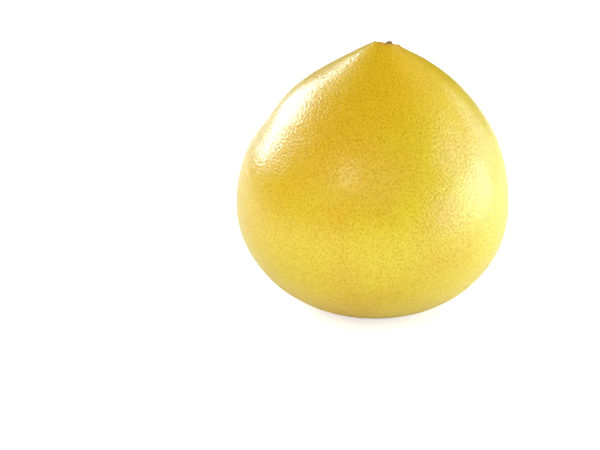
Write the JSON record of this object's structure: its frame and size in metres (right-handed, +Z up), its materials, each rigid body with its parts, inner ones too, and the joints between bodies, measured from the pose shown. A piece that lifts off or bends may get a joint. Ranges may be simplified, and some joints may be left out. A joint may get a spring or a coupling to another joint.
{
  "type": "whole pomelo",
  "caption": "Whole yellow pomelo standing on its blossom end, with a blunt leaning crown and a dried woody stem button in a shallow cup.",
  "frame": {"origin": "on the surface that the fruit stands on, in the middle of its width and depth", "axes": "+Z up from the blossom end to the crown, +X to the right and -Y to the front, with the crown leaning to +X and +Y"},
  "size_m": [0.1484, 0.1476, 0.147],
  "materials": {
    "peel": "waxy golden-yellow peel, close-set with darker oil glands, satin gloss",
    "dry_stem": "dried brown woody calyx and snapped stalk, matt and cracked"
  },
  "bodies": {
    "root": {"fruit": "peel", "stem_button": "dry_stem"}
  },
  "joints": []
}
